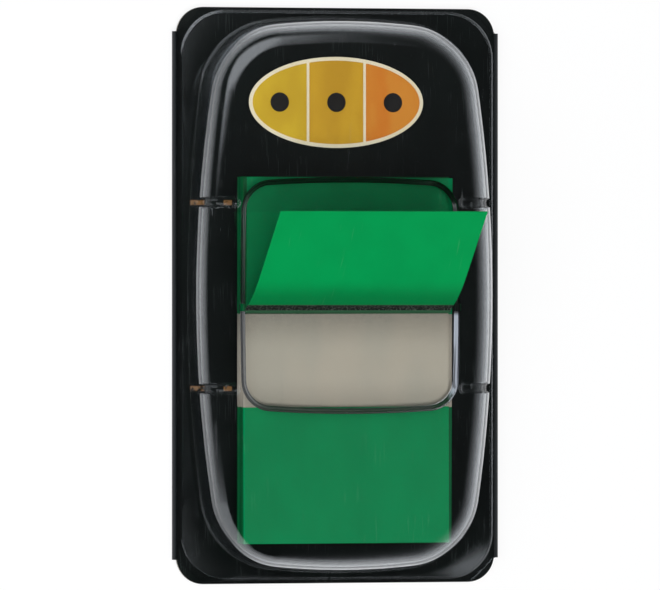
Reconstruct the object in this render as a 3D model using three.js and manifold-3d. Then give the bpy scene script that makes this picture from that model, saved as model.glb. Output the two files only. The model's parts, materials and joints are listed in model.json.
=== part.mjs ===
// Sticky index tabs: a stack of film tabs in a clear dispenser on a black card.
// Millimetres. The dispenser lies on its back: +X is to the right and +Y to the top of its front face, and +Z
// points out of that face. The origin is under the middle of the dispenser, on the surface that it lies on.
import * as THREE from 'three';
import Module from 'manifold-3d';
import { mergeVertices } from 'three/addons/utils/BufferGeometryUtils.js';

const wasm = await Module();
wasm.setup();

// Backing card
const CARD_THICKNESS = 0.5;
const CARD_CORNER = 3.3;

// Clear cover: the sheet, its flange and its folded edges
const SHEET = 0.35;
const FOLD_PLAY = 0.1;
const FOLD_BEND = 0.5;
const FOLD_END_MARGIN = 2.9;
const FOLD_RETURN = 5;
const FOLD_RETURN_TAPER = 2.5;
const FLANGE_SIDE = 1.65;
const FLANGE_END = 1.4;
const FLANGE_CHAMFER = 2.9;
const FLANGE_SETBACK = 0.15;
const PANEL_MARGIN = 0.75;
const PANEL_END_MARGIN = 0.35;
const PANEL_CORNER = 5.6;
const PANEL_STEP = 0.12;

// Clear cover: the dome
const DOME_SIDE_ROOM = 5.8;
const DOME_END_ROOM = 3.475;
const DOME_SIDE_RADIUS = 173;
const DOME_END_RADIUS = 87;
const DOME_CORNER_RADIUS = 9.2;
const DOME_DRAFT = 0.2;
const DOME_FOOT_RADIUS = 0.45;
const DOME_SHOULDER_RADIUS = 2.8;

// Clear cover: the window, which is a shallow recess, and the slot across it
const WINDOW_SIDE_ROOM = 0.7;
const WINDOW_LENGTH = 27.7;
const WINDOW_SIDE_RADIUS = 420;
const WINDOW_END_RADIUS = 147;
const WINDOW_CORNER_RADIUS = 3.6;
const WINDOW_DEPTH = 0.6;
const WINDOW_WALL_RUN = 0.55;
const SLOT_Y = -1.4;
const SLOT_WIDTH = 0.9;
const SLOT_SIDE_CLEARANCE = 0.95;

// Clear cover: the four side grooves
const GROOVE_Y = 10.98;
const GROOVE_WIDTH = 0.9;
const GROOVE_DEPTH = 0.45;
const GROOVE_WINDOW_GAP = 0.3;

// Film tabs
const TAB_WIDTH = 25.4;
const TAB_LENGTH = 43.2;
const TAB_COLOUR_LENGTH = 16.1;
const FILM = 0.1;
const TAB_PRINT = 0.05;
const TAB_HEADROOM = 0.25;
const SECOND_TAB_SHIFT = -0.2;
const SECOND_TAB_TURN = 0.15;
const THIRD_TAB_SHIFT = 0.3;
const THIRD_TAB_TURN = -0.2;

// The rest of the stack: it leans a little, and its tabs lie unevenly
const STACK_THICKNESS = 4.4;
const STACK_LAYERS = 11;
const STACK_LEAN = 0.52;
const STACK_STAGGER = 0.07;
const LAYER_BITE = 0.02;

// Top tab, which has popped up through the slot
const LIFT_BEND_RADIUS = 0.8;
const LIFT_EXIT_ANGLE = 62;
const LIFT_CURL_RADIUS = 12;
const LIFT_END_ANGLE = 38;
const LIFT_DRIFT = 1.25;

// Printed badge on the card
const BADGE_DROP = 1.1375;
const BADGE_WIDTH = 21.6;
const BADGE_HEIGHT = 10.8;
const BADGE_BORDER = 0.45;
const BADGE_FIELD_GAP = 0.35;
const BADGE_DOT_RADIUS = 1.15;
const CARD_PRINT = 0.05;

// Steps along curves
const DOME_STEPS = { side: 5, corner: 8, end: 5 };
const WINDOW_STEPS = { side: 1, corner: 6, end: 5 };
const FOOT_STEPS = 2;
const SHOULDER_STEPS = 6;
const WINDOW_WALL_STEPS = 4;
const CORNER_STEPS = 7;
const BEND_STEPS = 4;
const GROOVE_END_STEPS = 8;
const LIFT_BEND_STEPS = 5;
const LIFT_CURL_STEPS = 8;
const OVAL_STEPS = 48;
const DOT_STEPS = 24;

// How far a cutting tool runs past the face that it cuts
const OVERCUT = 1;

// Heights above the surface that the dispenser lies on
const cardTop = SHEET + CARD_THICKNESS;
const flangeBottom = cardTop + FOLD_PLAY;
const flangeTop = flangeBottom + SHEET;
const panelTop = flangeTop + PANEL_STEP;
const tabPitch = FILM + TAB_PRINT;
const stackTop = cardTop + STACK_THICKNESS;
const secondTabZ = stackTop + tabPitch;
const topTabZ = secondTabZ + tabPitch;
const windowUnderside = topTabZ + FILM + TAB_HEADROOM;
const windowFloor = windowUnderside + SHEET;
const domeTop = windowFloor + WINDOW_DEPTH;

// Places and sizes on the card's plane, from the slot and the tabs outwards
const bendStartY = SLOT_Y + tabPitch / 2 - LIFT_BEND_RADIUS;
const stackBottomY = bendStartY - (TAB_LENGTH - TAB_COLOUR_LENGTH);
const stackY = stackBottomY + TAB_LENGTH / 2;
const windowWidth = TAB_WIDTH + 2 * WINDOW_SIDE_ROOM;
const domeWidth = TAB_WIDTH + 2 * DOME_SIDE_ROOM;
const domeLength = 2 * (DOME_END_ROOM - stackBottomY);
const coverWidth = domeWidth + 2 * FLANGE_SIDE;
const cardWidth = coverWidth - 2 * (SHEET + FOLD_PLAY);
const cardHeight = domeLength + 2 * FLANGE_END;
const foldLength = cardHeight - 2 * FOLD_END_MARGIN;

const DOME = {
  width: domeWidth,
  length: domeLength,
  sideRadius: DOME_SIDE_RADIUS,
  endRadius: DOME_END_RADIUS,
  cornerRadius: DOME_CORNER_RADIUS,
  steps: DOME_STEPS,
};

const WINDOW = {
  width: windowWidth,
  length: WINDOW_LENGTH,
  sideRadius: WINDOW_SIDE_RADIUS,
  endRadius: WINDOW_END_RADIUS,
  cornerRadius: WINDOW_CORNER_RADIUS,
  steps: WINDOW_STEPS,
};

const FINISH = {
  cover: { color: 0xdfe6ea, roughness: 0.08, metalness: 0, transparent: true, opacity: 0.3 },
  card: { color: 0x0c0f0e, roughness: 0.35, metalness: 0 },
  green: { color: 0x129a54, roughness: 0.4, metalness: 0 },
  stack: { color: 0x2f8a58, roughness: 0.5, metalness: 0 },
  film: { color: 0xc9c3b4, roughness: 0.4, metalness: 0, transparent: true, opacity: 0.45 },
  cream: { color: 0xf2e6cd, roughness: 0.45, metalness: 0 },
  yellow: { color: 0xd8c23a, roughness: 0.45, metalness: 0 },
  amber: { color: 0xd0a62e, roughness: 0.45, metalness: 0 },
  orange: { color: 0xe0822a, roughness: 0.45, metalness: 0 },
  ink: { color: 0x141312, roughness: 0.45, metalness: 0 },
};

// A closed mesh as a solid that can be joined and cut
function solidOf(geometry) {
  const plain = geometry.clone();
  plain.deleteAttribute('normal');
  plain.deleteAttribute('uv');
  const merged = mergeVertices(plain, 1e-5);
  return new wasm.Manifold(new wasm.Mesh({
    numProp: 3,
    vertProperties: new Float32Array(merged.attributes.position.array),
    triVerts: new Uint32Array(merged.index.array),
  }));
}

function geometryFrom(positions, index) {
  const geometry = new THREE.BufferGeometry();
  geometry.setAttribute('position', new THREE.BufferAttribute(new Float32Array(positions), 3));
  geometry.setIndex(new THREE.BufferAttribute(new Uint32Array(index), 1));
  geometry.computeVertexNormals();
  return geometry;
}

function geometryOf(solid) {
  const mesh = solid.getMesh();
  return geometryFrom(mesh.vertProperties, mesh.triVerts);
}

function union(solids) {
  return solids.reduce((joined, solid) => joined.add(solid));
}

// A flat plate between two heights
function plate(shape, bottom, top, curveSegments = 1) {
  const options = { depth: top - bottom, bevelEnabled: false, curveSegments };
  return solidOf(new THREE.ExtrudeGeometry(shape, options).translate(0, 0, bottom));
}

function block(width, height, bottom, top, x, y) {
  return solidOf(new THREE.BoxGeometry(width, height, top - bottom).translate(x, y, (bottom + top) / 2));
}

function polygon(points) {
  return new THREE.Shape(points.map(([x, y]) => new THREE.Vector2(x, y)));
}

// Points along an arc from one angle to another, both ends included
function arc(x, y, radius, from, to, steps) {
  return Array.from({ length: steps + 1 }, (_, i) => {
    const angle = from + (to - from) * i / steps;
    return [x + radius * Math.cos(angle), y + radius * Math.sin(angle)];
  });
}

function roundedRectangle(width, height, radius) {
  const x = width / 2 - radius;
  const y = height / 2 - radius;
  return polygon([
    ...arc(x, y, radius, 0, Math.PI / 2, CORNER_STEPS),
    ...arc(-x, y, radius, Math.PI / 2, Math.PI, CORNER_STEPS),
    ...arc(-x, -y, radius, Math.PI, Math.PI * 1.5, CORNER_STEPS),
    ...arc(x, -y, radius, Math.PI * 1.5, Math.PI * 2, CORNER_STEPS),
  ]);
}

// A barrel outline: bowed sides, crowned ends and round corners, all tangent, moved inwards by an inset
function barrel({ width, length, sideRadius, endRadius, cornerRadius, steps }, inset) {
  const side = new THREE.Vector2(width / 2 - sideRadius, 0);
  const end = new THREE.Vector2(0, length / 2 - endRadius);
  const apart = side.distanceTo(end);
  const towards = end.clone().sub(side).normalize();
  const across = new THREE.Vector2(-towards.y, towards.x);
  const fromSide = sideRadius - cornerRadius;
  const fromEnd = endRadius - cornerRadius;
  const along = (fromSide ** 2 - fromEnd ** 2 + apart ** 2) / (2 * apart);
  const aside = Math.sqrt(fromSide ** 2 - along ** 2);
  const corner = side.clone().addScaledVector(towards, along).addScaledVector(across, aside);
  const sideAngle = Math.atan2(corner.y, corner.x - side.x);
  const endAngle = Math.atan2(corner.y - end.y, corner.x);
  const quarter = [
    ...arc(side.x, 0, sideRadius - inset, 0, sideAngle, steps.side).slice(0, -1),
    ...arc(corner.x, corner.y, cornerRadius - inset, sideAngle, endAngle, steps.corner).slice(0, -1),
    ...arc(0, end.y, endRadius - inset, endAngle, Math.PI / 2, steps.end),
  ];
  const upper = [...quarter, ...quarter.slice(0, -1).reverse().map(([x, y]) => [-x, y])];
  return [...upper, ...upper.slice(1, -1).reverse().map(([x, y]) => [x, -y])];
}

// A closed form through a barrel outline at each level, from the lowest to the highest
function loft(outline, levels) {
  const rings = levels.map(([inset, z]) => barrel(outline, inset).map(([x, y]) => [x, y, z]));
  const count = rings[0].length;
  const bottom = rings.length * count;
  const top = bottom + 1;
  const last = bottom - count;
  const positions = [...rings.flat(2), 0, 0, levels[0][1], 0, 0, levels.at(-1)[1]];
  const index = [];
  for (let i = 0; i < count; i += 1) {
    const next = (i + 1) % count;
    for (let base = 0; base < last; base += count) {
      index.push(base + i, base + next, base + count + next, base + i, base + count + next, base + count + i);
    }
    index.push(bottom, next, i, top, last + i, last + next);
  }
  return solidOf(geometryFrom(positions, index));
}

// The dome's foot, wall and shoulder as insets and heights, a depth below its outer face and down to a base
function domeLevels(depth, base) {
  const shoulderInset = DOME_DRAFT + DOME_SHOULDER_RADIUS;
  const footZ = panelTop + DOME_FOOT_RADIUS;
  const shoulderZ = domeTop - DOME_SHOULDER_RADIUS;
  return [
    [-DOME_FOOT_RADIUS, base],
    ...arc(-DOME_FOOT_RADIUS, footZ, DOME_FOOT_RADIUS + depth, -Math.PI / 2, 0, FOOT_STEPS),
    ...arc(shoulderInset, shoulderZ, DOME_SHOULDER_RADIUS - depth, Math.PI, Math.PI / 2, SHOULDER_STEPS),
  ];
}

// The window's floor and sloping wall, a depth below its outer face, and on up past the dome
function windowLevels(depth) {
  const wall = Array.from({ length: WINDOW_WALL_STEPS + 1 }, (_, i) => {
    const rise = i / WINDOW_WALL_STEPS;
    const inset = WINDOW_WALL_RUN * (1 + Math.cos(Math.PI * rise)) / 2;
    return [inset - depth, windowFloor + WINDOW_DEPTH * rise - depth];
  });
  return [...wall, [-depth, domeTop + OVERCUT]];
}

// The space of one side groove, from its round inner end out over the dome's shoulder and down its wall
function grooveSpace(sideX, sideY, depth) {
  const radius = GROOVE_WIDTH / 2 + depth;
  const inner = windowWidth / 2 + GROOVE_WINDOW_GAP + GROOVE_WIDTH / 2;
  const shape = polygon([
    [sideX * coverWidth / 2, radius],
    ...arc(sideX * inner, 0, sideX * radius, Math.PI / 2, Math.PI * 1.5, GROOVE_END_STEPS)
      .map(([x, y]) => [x, sideX * y]),
    [sideX * coverWidth / 2, -radius],
  ]);
  const bottom = panelTop + DOME_FOOT_RADIUS - depth;
  const reach = plate(shape, bottom, domeTop + OVERCUT).translate([0, sideY * GROOVE_Y, 0]);
  return reach.subtract(loft(DOME, domeLevels(GROOVE_DEPTH + depth, cardTop)));
}

// One folded edge: over the card's edge and back under it as a strip with tapered ends
function foldedEdge(side) {
  const edge = coverWidth / 2;
  const bendX = edge - FOLD_BEND;
  const inner = bendX - FOLD_BEND;
  const section = polygon([
    [inner, flangeTop],
    ...arc(bendX, flangeTop - FOLD_BEND, FOLD_BEND, Math.PI / 2, 0, BEND_STEPS),
    ...arc(bendX, FOLD_BEND, FOLD_BEND, 0, -Math.PI / 2, BEND_STEPS),
    [inner, 0],
    [inner, SHEET],
    [edge - SHEET, SHEET],
    [edge - SHEET, flangeBottom],
    [inner, flangeBottom],
  ].map(([x, z]) => [side * x, z]));
  const options = { depth: foldLength, bevelEnabled: false, curveSegments: 1 };
  const bend = new THREE.ExtrudeGeometry(section, options);
  const strip = polygon([
    [bendX, -foldLength / 2],
    [bendX, foldLength / 2],
    [edge - FOLD_RETURN, foldLength / 2 - FOLD_RETURN_TAPER],
    [edge - FOLD_RETURN, FOLD_RETURN_TAPER - foldLength / 2],
  ].map(([x, y]) => [side * x, y]));
  return solidOf(bend.rotateX(Math.PI / 2).translate(0, foldLength / 2, 0)).add(plate(strip, 0, SHEET));
}

// The flange: a sheet with cut corners, and a raised panel with round corners that carries the dome
function flange() {
  const edge = coverWidth / 2 - FOLD_BEND;
  const end = cardHeight / 2 - FLANGE_SETBACK;
  const corners = [[edge, foldLength / 2], [edge - FLANGE_CHAMFER, end]];
  const sheet = polygon([
    ...corners,
    ...corners.map(([x, y]) => [-x, y]).reverse(),
    ...corners.map(([x, y]) => [-x, -y]),
    ...corners.map(([x, y]) => [x, -y]).reverse(),
  ]);
  const panelShape = (inset) => roundedRectangle(
    coverWidth - 2 * (PANEL_MARGIN + inset),
    cardHeight - 2 * (PANEL_END_MARGIN + inset),
    PANEL_CORNER - inset,
  );
  return plate(sheet, flangeBottom, flangeTop)
    .add(plate(panelShape(0), flangeBottom, panelTop))
    .subtract(plate(panelShape(SHEET), cardTop, panelTop - SHEET));
}

function clearCover() {
  const grooves = [[1, 1], [-1, 1], [-1, -1], [1, -1]];
  const outside = loft(DOME, domeLevels(0, flangeTop))
    .subtract(loft(WINDOW, windowLevels(0)))
    .subtract(union(grooves.map(([x, y]) => grooveSpace(x, y, 0))));
  const inside = loft(DOME, domeLevels(SHEET, cardTop))
    .subtract(loft(WINDOW, windowLevels(SHEET)))
    .subtract(union(grooves.map(([x, y]) => grooveSpace(x, y, SHEET))));
  const slotLength = TAB_WIDTH + 2 * SLOT_SIDE_CLEARANCE;
  const slot = block(slotLength, SLOT_WIDTH, windowUnderside - OVERCUT, domeTop + OVERCUT, 0, SLOT_Y);
  return union([flange(), outside, foldedEdge(1), foldedEdge(-1)]).subtract(inside).subtract(slot);
}

// The lower tabs as one solid, each layer a little aside from the one below it
function stackLayers() {
  const thickness = STACK_THICKNESS / STACK_LAYERS;
  return union(Array.from({ length: STACK_LAYERS }, (_, i) => {
    const stagger = i % 2 ? STACK_STAGGER : -STACK_STAGGER;
    const lean = STACK_LEAN * (1 - (i + 1) / STACK_LAYERS);
    const top = Math.min(cardTop + (i + 1) * thickness + LAYER_BITE, stackTop);
    return block(TAB_WIDTH, TAB_LENGTH, cardTop + i * thickness, top, lean + stagger, stackY - stagger);
  }));
}

// The top tab's lower face from the side: flat under the window, up through the slot, and back in a curl
function topTabPath() {
  const exit = THREE.MathUtils.degToRad(LIFT_EXIT_ANGLE);
  const end = THREE.MathUtils.degToRad(LIFT_END_ANGLE);
  const bend = LIFT_BEND_RADIUS * exit;
  const curl = LIFT_CURL_RADIUS * (exit - end);
  const stretches = [
    { length: TAB_LENGTH - TAB_COLOUR_LENGTH, from: 0, to: 0, steps: 1 },
    { length: bend, from: 0, to: exit, steps: LIFT_BEND_STEPS },
    { length: curl, from: exit, to: end, steps: LIFT_CURL_STEPS },
    { length: TAB_COLOUR_LENGTH - bend - curl, from: end, to: end, steps: 1 },
  ];
  const path = [{ y: stackBottomY, z: topTabZ, angle: 0, run: 0 }];
  for (const { length, from, to, steps } of stretches) {
    const step = length / steps;
    for (let i = 1; i <= steps; i += 1) {
      const { y, z, run } = path.at(-1);
      const angle = from + (to - from) * i / steps;
      const chord = angle - (to - from) / (2 * steps);
      path.push({ y: y + step * Math.cos(chord), z: z + step * Math.sin(chord), angle, run: run + step });
    }
  }
  return path;
}

// A sheet along the top tab's path, between two distances above the path, drifting aside as it rises
function liftedSheet(path, low, high) {
  const flat = TAB_LENGTH - TAB_COLOUR_LENGTH;
  const positions = path.flatMap(({ y, z, angle, run }) => {
    const drift = LIFT_DRIFT * Math.max(0, run - flat) / TAB_COLOUR_LENGTH;
    return [[-1, low], [1, low], [1, high], [-1, high]].flatMap(([side, height]) => [
      drift + side * TAB_WIDTH / 2,
      y - height * Math.sin(angle),
      z + height * Math.cos(angle),
    ]);
  });
  const end = 4 * (path.length - 1);
  const index = [0, 1, 2, 0, 2, 3, end + 1, end, end + 3, end + 1, end + 3, end + 2];
  for (let base = 0; base < end; base += 4) {
    for (let i = 0; i < 4; i += 1) {
      const next = (i + 1) % 4;
      index.push(base + i, base + 4 + i, base + 4 + next, base + i, base + 4 + next, base + next);
    }
  }
  return geometryFrom(positions, index);
}

function oval(width, height) {
  return new THREE.Shape().absellipse(0, 0, width / 2, height / 2, 0, Math.PI * 2, false, 0);
}

function mesh(name, geometry, finish) {
  const piece = new THREE.Mesh(geometry, new THREE.MeshStandardMaterial(FINISH[finish]));
  piece.name = name;
  return piece;
}

function flatTab(name, { shift, turn, z, colourSide }) {
  const tab = new THREE.Group();
  const film = new THREE.BoxGeometry(TAB_WIDTH, TAB_LENGTH, FILM).translate(0, 0, FILM / 2);
  const colour = new THREE.BoxGeometry(TAB_WIDTH, TAB_COLOUR_LENGTH, TAB_PRINT);
  colour.translate(0, colourSide * (TAB_LENGTH - TAB_COLOUR_LENGTH) / 2, FILM + TAB_PRINT / 2);
  tab.add(mesh(name, film, 'film'), mesh(`${name}_colour`, colour, 'green'));
  tab.position.set(shift, stackY, z);
  tab.rotation.z = THREE.MathUtils.degToRad(turn);
  return tab;
}

function topTab() {
  const path = topTabPath();
  const colourPath = path.slice(1);
  const tab = new THREE.Group();
  tab.add(
    mesh('top_tab', liftedSheet(path, 0, FILM), 'film'),
    mesh('top_tab_colour', liftedSheet(colourPath, FILM, FILM + TAB_PRINT), 'green'),
  );
  return tab;
}

// A plain oval badge: a cream ground, three fields of colour, and a dark dot on each. It lies a little
// below the middle of the bare card between the stack and the card's end.
function badge() {
  const ground = plate(oval(BADGE_WIDTH, BADGE_HEIGHT), 0, CARD_PRINT, OVAL_STEPS);
  const fieldShape = oval(BADGE_WIDTH - 2 * BADGE_BORDER, BADGE_HEIGHT - 2 * BADGE_BORDER);
  const fields = plate(fieldShape, CARD_PRINT, 2 * CARD_PRINT, OVAL_STEPS);
  const pitch = (BADGE_WIDTH - 2 * BADGE_BORDER + BADGE_FIELD_GAP) / 3;
  const group = new THREE.Group();
  group.add(mesh('badge_ground', geometryOf(ground), 'cream'));
  [['left', 'yellow'], ['middle', 'amber'], ['right', 'orange']].forEach(([place, colour], i) => {
    const x = (i - 1) * pitch;
    const strip = block(pitch - BADGE_FIELD_GAP, BADGE_HEIGHT, 0, OVERCUT, x, 0);
    const dot = new THREE.CylinderGeometry(BADGE_DOT_RADIUS, BADGE_DOT_RADIUS, CARD_PRINT, DOT_STEPS);
    const dotMesh = mesh(`badge_${place}_dot`, dot.rotateX(Math.PI / 2), 'ink');
    dotMesh.position.set(x, 0, 2 * CARD_PRINT + CARD_PRINT / 2);
    group.add(mesh(`badge_${place}_field`, geometryOf(fields.intersect(strip)), colour), dotMesh);
  });
  const bareMiddle = (stackBottomY + TAB_LENGTH + cardHeight / 2) / 2;
  group.position.set(0, bareMiddle - BADGE_DROP, cardTop);
  return group;
}

const card = roundedRectangle(cardWidth, cardHeight, CARD_CORNER);
const dispenser = new THREE.Group();
dispenser.name = 'sticky_index_tabs';
dispenser.add(
  mesh('clear_cover', geometryOf(clearCover()), 'cover'),
  mesh('backing_card', geometryOf(plate(card, SHEET, cardTop)), 'card'),
  mesh('tab_stack', geometryOf(stackLayers()), 'stack'),
  flatTab('third_tab', { shift: THIRD_TAB_SHIFT, turn: THIRD_TAB_TURN, z: stackTop, colourSide: 1 }),
  flatTab('second_tab', { shift: SECOND_TAB_SHIFT, turn: SECOND_TAB_TURN, z: secondTabZ, colourSide: -1 }),
  topTab(),
  badge(),
);

export default dispenser;
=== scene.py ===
"""Looks of a clear dispenser of film index tabs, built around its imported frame.

Lengths in the classes are millimetres. A finished mesh is brought to metres as its object is made.
"""

import json
import logging
import math
import random
from dataclasses import dataclass, field
from enum import Enum
from typing import Any, Callable, Sequence

import bmesh
import bpy
from mathutils import Matrix, Vector

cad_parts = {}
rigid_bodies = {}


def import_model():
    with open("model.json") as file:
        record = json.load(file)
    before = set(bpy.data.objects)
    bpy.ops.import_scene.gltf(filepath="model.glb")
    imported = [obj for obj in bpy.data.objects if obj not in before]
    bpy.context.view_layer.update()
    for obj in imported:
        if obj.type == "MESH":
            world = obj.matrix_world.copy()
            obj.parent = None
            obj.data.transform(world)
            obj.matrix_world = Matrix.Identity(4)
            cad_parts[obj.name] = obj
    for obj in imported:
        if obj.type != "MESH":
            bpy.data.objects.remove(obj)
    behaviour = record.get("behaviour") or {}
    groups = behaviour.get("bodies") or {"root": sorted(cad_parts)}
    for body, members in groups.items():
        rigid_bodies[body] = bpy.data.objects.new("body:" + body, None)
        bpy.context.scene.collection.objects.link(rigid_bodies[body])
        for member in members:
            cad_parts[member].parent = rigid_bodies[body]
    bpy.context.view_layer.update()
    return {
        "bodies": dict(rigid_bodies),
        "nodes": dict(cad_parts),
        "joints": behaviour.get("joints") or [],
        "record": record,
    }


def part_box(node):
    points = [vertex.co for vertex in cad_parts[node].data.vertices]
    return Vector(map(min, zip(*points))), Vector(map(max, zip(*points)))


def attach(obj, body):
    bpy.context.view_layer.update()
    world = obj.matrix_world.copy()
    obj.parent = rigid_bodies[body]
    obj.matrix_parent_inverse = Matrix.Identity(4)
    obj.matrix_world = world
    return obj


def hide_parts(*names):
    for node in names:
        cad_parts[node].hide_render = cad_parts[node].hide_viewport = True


MM = 0.001
LOG = logging.getLogger("dispenser")
Point = tuple[float, float]
Colour = tuple[float, float, float]
Range = tuple[float, float]

# Every outline of the cover has these steps in each quarter, so that two of them join point to point
SIDE_STEPS = 14
CORNER_STEPS = 16
END_STEPS = 12

# Millimetres within which points are drawn as one, a point is on a cutting plane, points of a finished skin
# merge, its slivers go, and a face belongs to a level
SAME = 0.001
ON_PLANE = 0.00001
WELD = 0.004
SLIVER = 0.003
NEAR = 0.05

# Edges that turn by more than this stay crisp
SHARP = math.radians(35)

# How far the side grooves, and the card's rub marks under them, lie from the middle, in millimetres
GROOVE_Y = 10.98


class Value:
    """A shader number that Python's own operators work on."""

    def __init__(self, graph: "Graph", socket: bpy.types.NodeSocket) -> None:
        """Wraps one output socket of a graph."""
        self.graph = graph
        self.socket = socket

    def _math(self, operation: str, first: Any, second: Any = 0.0) -> "Value":
        """Adds one Math node.

        Args:
            operation: the Math node's operation.
            first: its first number or value.
            second: its second number or value.

        Returns:
            The node's result.
        """
        return self.graph.add("ShaderNodeMath", {"operation": operation}, {0: first, 1: second})[0]

    def __add__(self, other: Any) -> "Value":
        """The sum of two values."""
        return self._math("ADD", self, other)

    __radd__ = __add__

    def __mul__(self, other: Any) -> "Value":
        """The product of two values."""
        return self._math("MULTIPLY", self, other)

    __rmul__ = __mul__

    def __sub__(self, other: Any) -> "Value":
        """This value less another."""
        return self._math("SUBTRACT", self, other)

    def __rsub__(self, other: Any) -> "Value":
        """Another value less this one."""
        return self._math("SUBTRACT", other, self)

    def __truediv__(self, other: Any) -> "Value":
        """This value over another."""
        return self._math("DIVIDE", self, other)

    def __pow__(self, other: Any) -> "Value":
        """This value to a power."""
        return self._math("POWER", self, other)

    def __abs__(self) -> "Value":
        """The value without its sign."""
        return self._math("ABSOLUTE", self)

    def least(self, other: Any) -> "Value":
        """The smaller of two values."""
        return self._math("MINIMUM", self, other)

    def most(self, other: Any) -> "Value":
        """The larger of two values."""
        return self._math("MAXIMUM", self, other)

    def angle(self, other: Any) -> "Value":
        """The angle of a direction with this value across and another along, in radians."""
        return self._math("ARCTAN2", self, other)

    def ramp(self, low: float, high: float) -> "Value":
        """A smooth rise from 0 at one value to 1 at another.

        Args:
            low: where the rise starts.
            high: where it ends, which may be below low.

        Returns:
            The share, from 0 to 1.
        """
        settings = {"interpolation_type": "SMOOTHSTEP", "clamp": True}
        return self.graph.add("ShaderNodeMapRange", settings, {0: self, 1: low, 2: high, 3: 0.0, 4: 1.0})[0]


class Graph:
    """The node tree of one material or of the world."""

    def __init__(self, tree: bpy.types.NodeTree) -> None:
        """Empties a node tree, ready for new nodes."""
        self.tree = tree
        tree.nodes.clear()

    def add(
            self, kind: str, settings: dict[str, Any] | None = None,
            inputs: dict[str | int, Any] | None = None) -> list[Value]:
        """Adds a node.

        Args:
            kind: the node's type.
            settings: its properties, set first.
            inputs: the value or link of each socket, by name or index.

        Returns:
            The node's outputs.
        """
        node = self.tree.nodes.new(kind)
        for name, value in (settings or {}).items():
            setattr(node, name, value)
        for key, value in (inputs or {}).items():
            socket = node.inputs[key]
            if isinstance(value, Value):
                self.tree.links.new(value.socket, socket)
            else:
                socket.default_value = self._fitted(socket, value)
        return [Value(self, output) for output in node.outputs]

    @staticmethod
    def _fitted(socket: bpy.types.NodeSocket, value: Any) -> Any:
        """A colour of three numbers as the four that a colour socket takes."""
        return (*value, 1.0) if socket.type == "RGBA" and len(value) == 3 else value

    def place(self) -> tuple[Value, Value, Value, Value]:
        """Where a point lies on the dispenser.

        Returns:
            Its X, Y and Z in millimetres, and the three as one vector in metres.
        """
        where = self.add("ShaderNodeTexCoord")[3]
        x, y, z = self.add("ShaderNodeSeparateXYZ", None, {0: where})
        return x / MM, y / MM, z / MM, where

    def stretched(self, where: Value, scale: Sequence[float], turn: float = 0.0) -> Value:
        """Coordinates turned about Z and stretched along their axes, for a pattern with a direction."""
        inputs = {"Vector": where, "Rotation": (0.0, 0.0, turn), "Scale": scale}
        return self.add("ShaderNodeMapping", None, inputs)[0]

    def mix(self, share: Any, first: Any, second: Any) -> Value:
        """Mixes two colours by a share of the second."""
        settings = {"data_type": "RGBA", "clamp_factor": True}
        return self.add("ShaderNodeMix", settings, {0: share, 6: first, 7: second})[2]

    def blend(self, share: Any, first: Value, second: Value) -> Value:
        """Mixes two shaders by a share of the second."""
        return self.add("ShaderNodeMixShader", None, {0: share, 1: first, 2: second})[0]

    def bump(self, height: Value, relief: float, strength: float) -> Value:
        """The normal of a surface with a height pattern.

        Args:
            height: the pattern, from 0 to 1.
            relief: the height of its relief in millimetres.
            strength: how much of it shows.

        Returns:
            The normal.
        """
        inputs = {"Strength": strength, "Distance": relief * MM, "Height": height}
        return self.add("ShaderNodeBump", None, inputs)[0]

    def satin(self, colour: Value, roughness: Value, specular: float, normal: Value) -> Value:
        """A dull body under a faint gloss."""
        return self.add("ShaderNodeBsdfPrincipled", None, {
            "Base Color": colour, "Roughness": roughness, "Specular IOR Level": specular, "Normal": normal,
        })[0]

    def surface(self, shader: Value) -> None:
        """Makes a shader the material's surface."""
        self.add("ShaderNodeOutputMaterial", None, {"Surface": shader})


def new_material(name: str) -> tuple[bpy.types.Material, Graph]:
    """Makes a node material.

    Args:
        name: the finish's name.

    Returns:
        The material and its empty graph.
    """
    material = bpy.data.materials.new(name)
    material.use_nodes = True
    return material, Graph(material.node_tree)


@dataclass(frozen=True)
class Pattern:
    """A soft random pattern around 0.5, with grains of a size in millimetres."""

    grain: float
    detail: float
    roughness: float = 0.5
    stretch: float | None = None
    turn: float = 0.0

    def on(self, graph: Graph, where: Value) -> Value:
        """The pattern at coordinates in metres, stretched along Y where it has a stretch."""
        if self.stretch is not None:
            where = graph.stretched(where, (1.0, self.stretch, 1.0), self.turn)
        return graph.add("ShaderNodeTexNoise", None, {
            "Vector": where, "Scale": 1.0 / (self.grain * MM),
            "Detail": self.detail, "Roughness": self.roughness,
        })[0]


@dataclass(frozen=True)
class Scratches:
    """Fine scratches that run one way, in patches."""

    pitch: float
    turn: float
    rarity: float
    softness: float = 0.05
    sway: Pattern = Pattern(9.0, 1.0)
    sway_reach: float = 0.9
    stretch: tuple[float, float, float] = (1.0, 0.035, 0.035)
    patches: Pattern = Pattern(5.0, 2.0)
    patch: Range = (0.5, 0.62)

    def on(self, graph: Graph, where: Value) -> Value:
        """1 on a scratch and 0 beside it, at coordinates in metres."""
        aside = self.sway.on(graph, where) * (self.sway_reach * MM)
        swayed = graph.add("ShaderNodeVectorMath", {"operation": "ADD"}, {0: where, 1: aside})[0]
        line = Pattern(self.pitch, 1.0).on(graph, graph.stretched(swayed, self.stretch, self.turn))
        patch = self.patches.on(graph, where).ramp(*self.patch)
        return line.ramp(self.rarity, self.rarity + self.softness) * patch


def crossed(graph: Graph, where: Value, ways: tuple[Scratches, Scratches]) -> Value:
    """Scratches that run two ways."""
    first, second = (way.on(graph, where) for way in ways)
    return first.most(second)


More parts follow.
